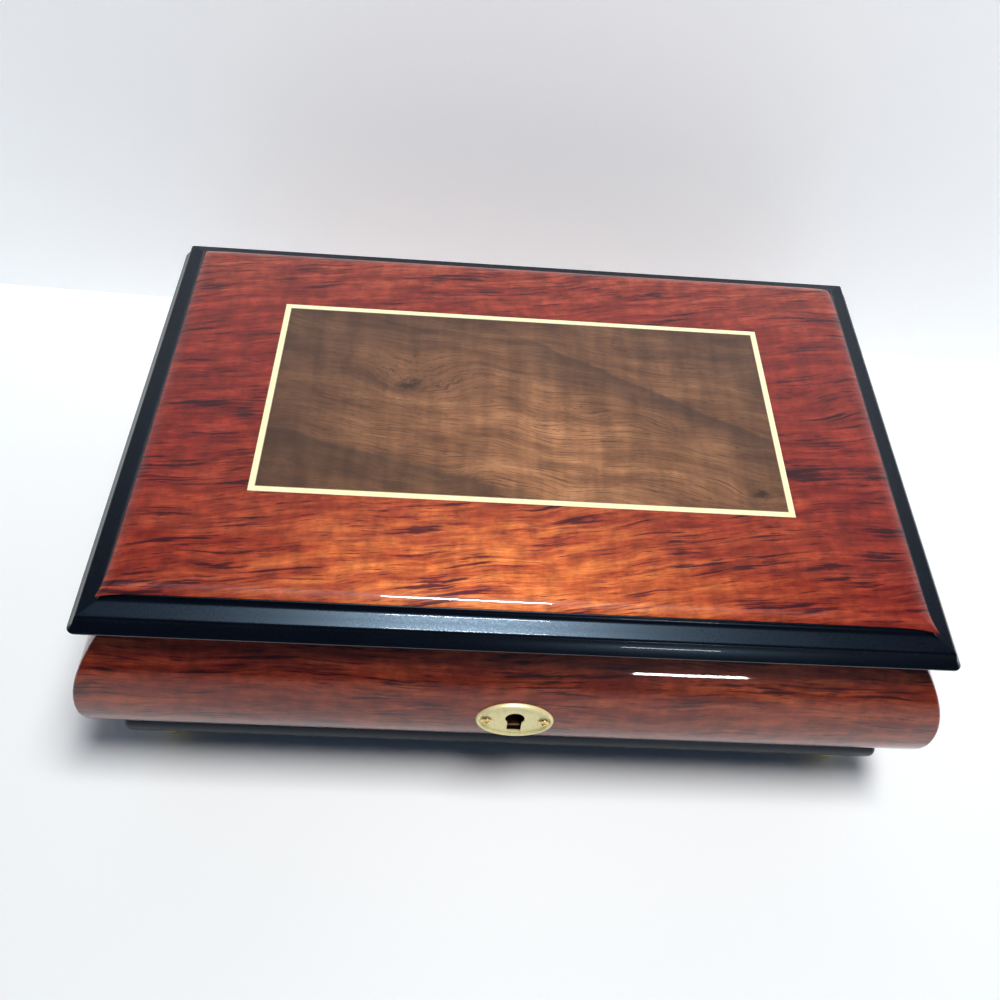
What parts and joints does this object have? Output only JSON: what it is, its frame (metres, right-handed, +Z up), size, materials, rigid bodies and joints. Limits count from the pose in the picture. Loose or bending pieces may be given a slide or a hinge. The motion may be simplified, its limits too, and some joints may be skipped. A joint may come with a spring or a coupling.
{
  "type": "wind up music box",
  "caption": "Hinged wooden music box with swelling sides, inlaid lid, lock and a comb and cylinder movement wound from below.",
  "frame": {"origin": "centre of the box's footprint, on the surface it stands on", "axes": "+X to the right seen from the front, +Y to the hinges at the back, +Z up"},
  "size_m": [0.3028, 0.2054, 0.0976],
  "materials": {
    "lacquered_veneer": "high gloss polyester lacquer over figured red-brown veneer",
    "black_lacquer": "high gloss black lacquer",
    "walnut": "high gloss lacquer over burr-figured walnut veneer",
    "maple_line": "lacquered pale inlay line",
    "softwood": "sanded bare board",
    "divider_wood": "satin stained wood",
    "polished_brass": "polished",
    "cast_plate": "gilt, fine cast",
    "steel": "ground and polished",
    "velvet": "short pile velvet",
    "clear_pane": "clear sheet"
  },
  "bodies": {
    "case": {"body_front": "lacquered_veneer", "body_back": "lacquered_veneer", "body_left": "lacquered_veneer", "body_right": "lacquered_veneer", "bottom_board": "softwood", "plinth_front": "black_lacquer", "plinth_back": "black_lacquer", "plinth_left": "black_lacquer", "plinth_right": "black_lacquer", "feet": "polished_brass", "escutcheon": "polished_brass", "escutcheon_screws": "polished_brass", "lock_case": "polished_brass", "hinge_case_leaves": "polished_brass", "hinge_pins": "polished_brass", "case_hardware_screws": "polished_brass", "divider_front": "divider_wood", "divider_side": "divider_wood", "movement_pane": "clear_pane", "floor_lining": "velvet", "wall_lining": "velvet", "ring_rolls": "velvet", "bedplate": "cast_plate", "bedplate_screws": "steel", "comb": "steel", "comb_screws": "steel", "cylinder_bracket": "polished_brass", "train_plate_inner": "polished_brass", "train_plate_outer": "polished_brass", "governor_frame": "polished_brass", "barrel_bridge": "polished_brass", "stop_guide": "polished_brass"},
    "lid": {"lid_board": "black_lacquer", "lid_veneer": "lacquered_veneer", "stringing": "maple_line", "walnut_panel": "walnut", "lid_lining": "velvet", "strike_plate": "polished_brass", "lid_screws": "polished_brass", "hinge_lid_leaves": "polished_brass"},
    "lock_bolt": {"lock_bolt": "steel"},
    "winder": {"winding_key": "polished_brass", "winding_arbor": "steel", "ratchet_wheel": "steel"},
    "click": {"click": "steel"},
    "spring_barrel": {"barrel": "polished_brass", "barrel_cover": "polished_brass", "mainspring": "steel"},
    "cylinder": {"music_cylinder": "polished_brass", "cylinder_pins": "steel", "cylinder_arbor": "steel", "cylinder_wheel": "polished_brass"},
    "first_wheel": {"first_arbor": "steel", "first_wheel": "polished_brass"},
    "second_wheel": {"second_arbor": "steel", "worm_wheel": "polished_brass"},
    "governor": {"worm": "steel", "air_brake": "polished_brass"},
    "stop_plunger": {"stop_plunger": "steel"}
  },
  "joints": [
    {"name": "lid_hinge", "type": "hinge", "parent": "case", "child": "lid", "pos_m": [0, 0.0902, 0.08685], "axis": [-1, 0, 0], "range_deg": [0, 100]},
    {"name": "stop_plunger_slide", "type": "slide", "parent": "case", "child": "stop_plunger", "axis": [0, 0, 1], "range_m": [0, 0.003]},
    {"name": "lock_bolt_slide", "type": "slide", "parent": "case", "child": "lock_bolt", "axis": [1, 0, 0], "range_m": [0, 0.0035]},
    {"name": "winder_turn", "type": "hinge", "parent": "case", "child": "winder", "pos_m": [-0.106, 0.032, 0.02], "axis": [0, 0, 1], "continuous": true},
    {"name": "click_pivot", "type": "hinge", "parent": "case", "child": "click", "pos_m": [-0.1, 0.019, 0.033], "axis": [0, 0, 1], "range_deg": [-8, 0]},
    {"name": "barrel_turn", "type": "hinge", "parent": "case", "child": "spring_barrel", "pos_m": [-0.106, 0.032, 0.038], "axis": [0, 0, 1], "continuous": true},
    {"name": "cylinder_turn", "type": "hinge", "parent": "case", "child": "cylinder", "pos_m": [-0.066, 0.032, 0.046], "axis": [1, 0, 0], "continuous": true},
    {"name": "first_wheel_turn", "type": "hinge", "parent": "case", "child": "first_wheel", "pos_m": [-0.04, 0.047, 0.046], "axis": [1, 0, 0], "continuous": true},
    {"name": "second_wheel_turn", "type": "hinge", "parent": "case", "child": "second_wheel", "pos_m": [-0.038, 0.057, 0.046], "axis": [1, 0, 0], "continuous": true},
    {"name": "governor_turn", "type": "hinge", "parent": "case", "child": "governor", "pos_m": [-0.034, 0.064, 0.05], "axis": [0, 0, 1], "continuous": true}
  ],
  "couplings": [
    {"joint": "stop_plunger_slide", "follows": "lid_hinge", "m_per_rad": 0.0017189},
    {"joint": "cylinder_turn", "follows": "barrel_turn", "ratio": 3},
    {"joint": "first_wheel_turn", "follows": "barrel_turn", "ratio": -12},
    {"joint": "second_wheel_turn", "follows": "barrel_turn", "ratio": 36},
    {"joint": "governor_turn", "follows": "barrel_turn", "ratio": -720}
  ]
}
